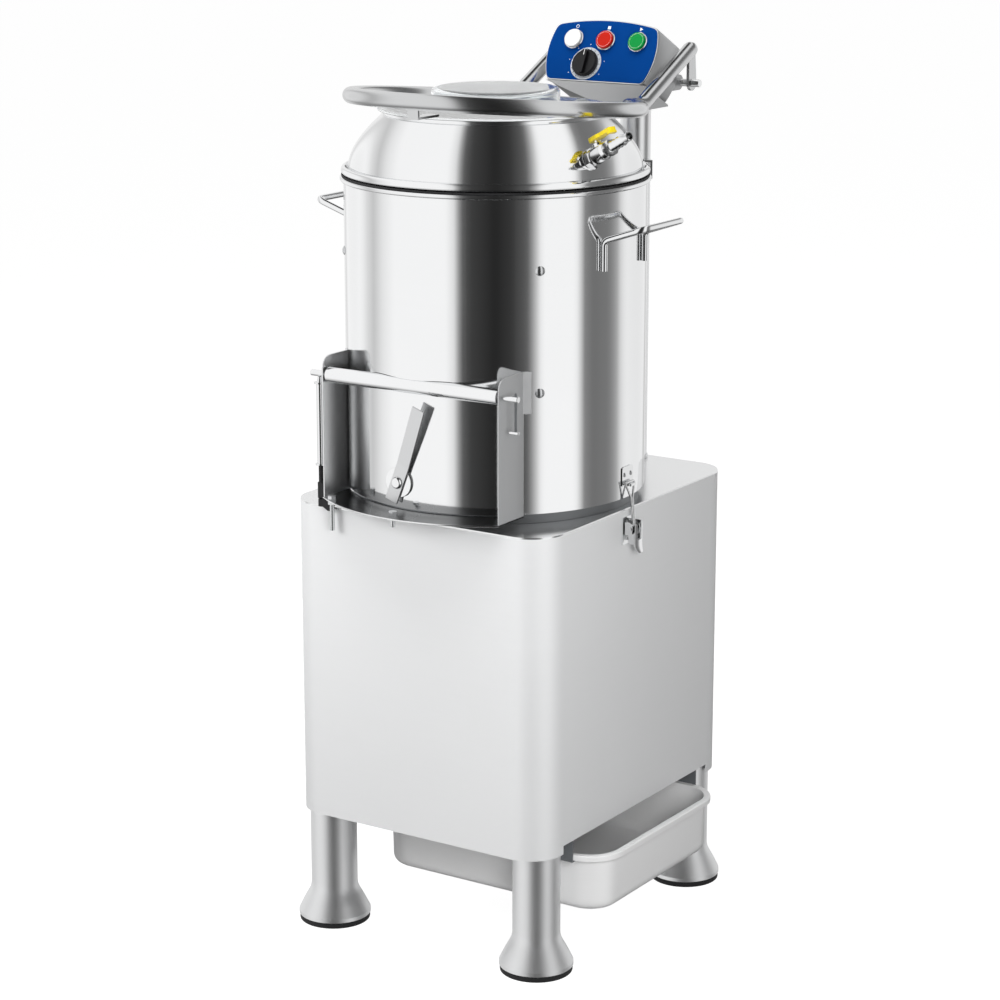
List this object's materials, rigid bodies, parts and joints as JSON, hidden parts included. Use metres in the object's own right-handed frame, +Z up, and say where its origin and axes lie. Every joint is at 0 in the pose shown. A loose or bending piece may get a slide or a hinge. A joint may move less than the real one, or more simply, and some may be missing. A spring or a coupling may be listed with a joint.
{
  "type": "electric potato peeler",
  "caption": "Upright machine: steel drum with an abrasive disc on a cabinet with motor and belt drive, hinged lid, front discharge door, peel tray, control head on a column.",
  "frame": {"origin": "on the floor, under the middle of the machine's outline", "axes": "+Z up, -Y towards the discharge chute at the front, +X towards the side where the peel tray pulls out"},
  "size_m": [0.492, 0.573, 1.1478],
  "materials": {
    "satin_steel": "satin",
    "polished_steel": "polished",
    "fastener_steel": "polished",
    "shaft_steel": "machined",
    "dark_iron": "matte",
    "frame_paint": "satin",
    "abrasive": "gritty matte",
    "black_rubber": "matte",
    "grey_pipe": "satin",
    "black_plastic": "satin",
    "pale_plastic": "satin",
    "clear_lid": "clear",
    "blue_paint": "satin",
    "yellow_paint": "gloss",
    "white_plastic": "gloss",
    "red_plastic": "gloss",
    "green_plastic": "gloss"
  },
  "bodies": {
    "root": {"cabinet_shell": "satin_steel", "top_deck": "satin_steel", "rear_cover": "satin_steel", "rear_cover_screws": "fastener_steel", "cable_gland": "black_plastic", "base_frame": "frame_paint", "legs": "satin_steel", "foot_rings": "black_rubber", "waste_duct": "grey_pipe", "drum_shell": "polished_steel", "drum_floor": "polished_steel", "abrasive_liner": "abrasive", "liner_screws": "fastener_steel", "bearing_housing": "dark_iron", "bearings": "shaft_steel", "shaft_seal": "black_rubber", "drive_belt": "black_rubber", "motor_body": "frame_paint", "motor_bracket": "frame_paint", "motor_bolts": "fastener_steel", "rim_gasket": "black_rubber", "dome_cover": "polished_steel", "rim_clips": "polished_steel", "drum_handle_left": "polished_steel", "drum_handle_right": "polished_steel", "chute_frame": "polished_steel", "chute_bolts": "fastener_steel", "hinge_rod": "polished_steel", "tie_post": "polished_steel", "latch_keepers": "polished_steel", "latch_bases": "polished_steel", "valve_body": "polished_steel", "column": "polished_steel", "control_bracket": "satin_steel", "control_box": "satin_steel", "control_panel": "blue_paint", "panel_bezels": "polished_steel", "timer_unit": "pale_plastic", "contactor": "pale_plastic", "hinge_axle": "polished_steel"},
    "tray": {"peel_tray": "satin_steel"},
    "disc": {"abrasive_disc": "abrasive", "disc_nut": "polished_steel", "main_shaft": "shaft_steel", "driven_pulley": "dark_iron"},
    "rotor": {"motor_pulley": "dark_iron", "motor_shaft": "shaft_steel"},
    "lid": {"lid_hoop": "polished_steel", "clear_lid": "clear_lid"},
    "door": {"chute_door": "polished_steel"},
    "lever": {"door_lever": "polished_steel"},
    "latch_left": {"latch_lever_left": "polished_steel"},
    "latch_right": {"latch_lever_right": "polished_steel"},
    "bail_left": {"latch_bail_left": "polished_steel"},
    "bail_right": {"latch_bail_right": "polished_steel"},
    "valve": {"valve_lever": "yellow_paint"},
    "knob": {"timer_knob": "black_plastic"},
    "out_button": {"button_out": "white_plastic"},
    "stop_button": {"button_stop": "red_plastic"},
    "start_button": {"button_start": "green_plastic"}
  },
  "joints": [
    {"name": "tray_slide", "type": "slide", "parent": "root", "child": "tray", "axis": [1, 0, 0], "range_m": [-0.04, 0.28]},
    {"name": "disc_spin", "type": "hinge", "parent": "root", "child": "disc", "pos_m": [0, -0.047, 0.6025], "axis": [0, 0, 1], "continuous": true},
    {"name": "motor_spin", "type": "hinge", "parent": "root", "child": "rotor", "pos_m": [0, 0.125, 0.44], "axis": [0, 0, 1], "continuous": true},
    {"name": "lid_hinge", "type": "hinge", "parent": "root", "child": "lid", "pos_m": [0, 0.276, 1.06698], "axis": [-1, 0, 0], "range_deg": [0, 95]},
    {"name": "door_hinge", "type": "hinge", "parent": "root", "child": "door", "pos_m": [0, -0.231, 0.738], "axis": [-1, 0, 0], "range_deg": [0, 75]},
    {"name": "door_lever_turn", "type": "hinge", "parent": "door", "child": "lever", "pos_m": [-0.015, -0.242, 0.6175], "axis": [0, 1, 0], "range_deg": [0, 75]},
    {"name": "latch_left_turn", "type": "hinge", "parent": "root", "child": "latch_left", "pos_m": [-0.202, -0.039, 0.547], "axis": [0, 1, 0], "range_deg": [0, 105]},
    {"name": "latch_right_turn", "type": "hinge", "parent": "root", "child": "latch_right", "pos_m": [0.202, -0.039, 0.547], "axis": [0, -1, 0], "range_deg": [0, 105]},
    {"name": "bail_left_turn", "type": "hinge", "parent": "latch_left", "child": "bail_left", "pos_m": [-0.202, -0.039, 0.539], "axis": [0, 1, 0], "range_deg": [-105, 0]},
    {"name": "bail_right_turn", "type": "hinge", "parent": "latch_right", "child": "bail_right", "pos_m": [0.202, -0.039, 0.539], "axis": [0, -1, 0], "range_deg": [-105, 0]},
    {"name": "valve_turn", "type": "hinge", "parent": "root", "child": "valve", "pos_m": [0.18669, -0.1023, 1.01971], "axis": [-0.4353, 0.1289, 0.891], "range_deg": [0, 90]},
    {"name": "timer_turn", "type": "hinge", "parent": "root", "child": "knob", "pos_m": [-0.018, 0.1944, 1.09364], "axis": [0, 0.8918, -0.4524], "range_deg": [0, 300]},
    {"name": "out_press", "type": "slide", "parent": "root", "child": "out_button", "axis": [0, 0.8918, -0.4524], "range_m": [0, 0.003], "stiffness_N_per_m": 300, "springref_m": -0.002},
    {"name": "stop_press", "type": "slide", "parent": "root", "child": "stop_button", "axis": [0, 0.8918, -0.4524], "range_m": [0, 0.003], "stiffness_N_per_m": 300, "springref_m": -0.002},
    {"name": "start_press", "type": "slide", "parent": "root", "child": "start_button", "axis": [0, 0.8918, -0.4524], "range_m": [0, 0.003], "stiffness_N_per_m": 300, "springref_m": -0.002}
  ],
  "couplings": [
    {"joint": "motor_spin", "follows": "disc_spin", "ratio": 3.2433},
    {"joint": "bail_left_turn", "follows": "latch_left_turn", "ratio": -1},
    {"joint": "bail_right_turn", "follows": "latch_right_turn", "ratio": -1}
  ]
}
